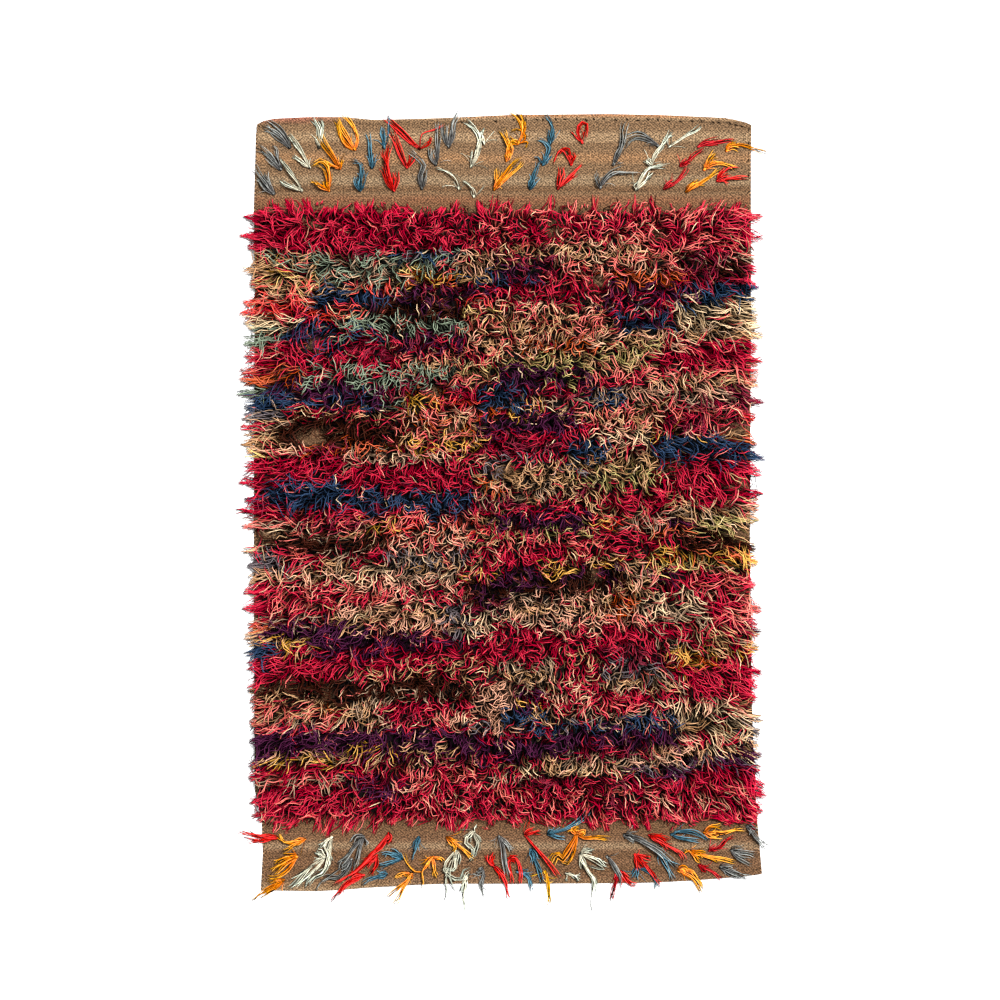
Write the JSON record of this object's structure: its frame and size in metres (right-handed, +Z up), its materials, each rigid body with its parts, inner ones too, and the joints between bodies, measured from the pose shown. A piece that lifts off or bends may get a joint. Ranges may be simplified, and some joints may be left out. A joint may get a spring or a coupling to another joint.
{
  "type": "kilim rug",
  "caption": "Hand-woven shag kilim rug lying flat: long multicoloured wool pile on a flat-woven ground, with bare striped end bands that carry loose wool tufts.",
  "frame": {"origin": "middle of the rug's box at its underside", "axes": "+Z up through the pile, +Y along the rug's length, +X across its width"},
  "size_m": [1.0872, 1.6286, 0.0312],
  "materials": {
    "woven_ground": "matte flat-woven goat hair and wool, mottled brown with pale and pinkish bands",
    "shag_wool": "long crimped plied wool yarn in many dyed colours, crimson most of all",
    "tuft_wool": "soft unspun wool locks in grey, white, orange, blue and red"
  },
  "bodies": {
    "root": {"ground": "woven_ground", "pile": "shag_wool", "tufts_top_outer": "tuft_wool", "tufts_top_middle": "tuft_wool", "tufts_top_inner": "tuft_wool", "tufts_bottom_inner": "tuft_wool", "tufts_bottom_middle": "tuft_wool", "tufts_bottom_outer": "tuft_wool"}
  },
  "joints": []
}
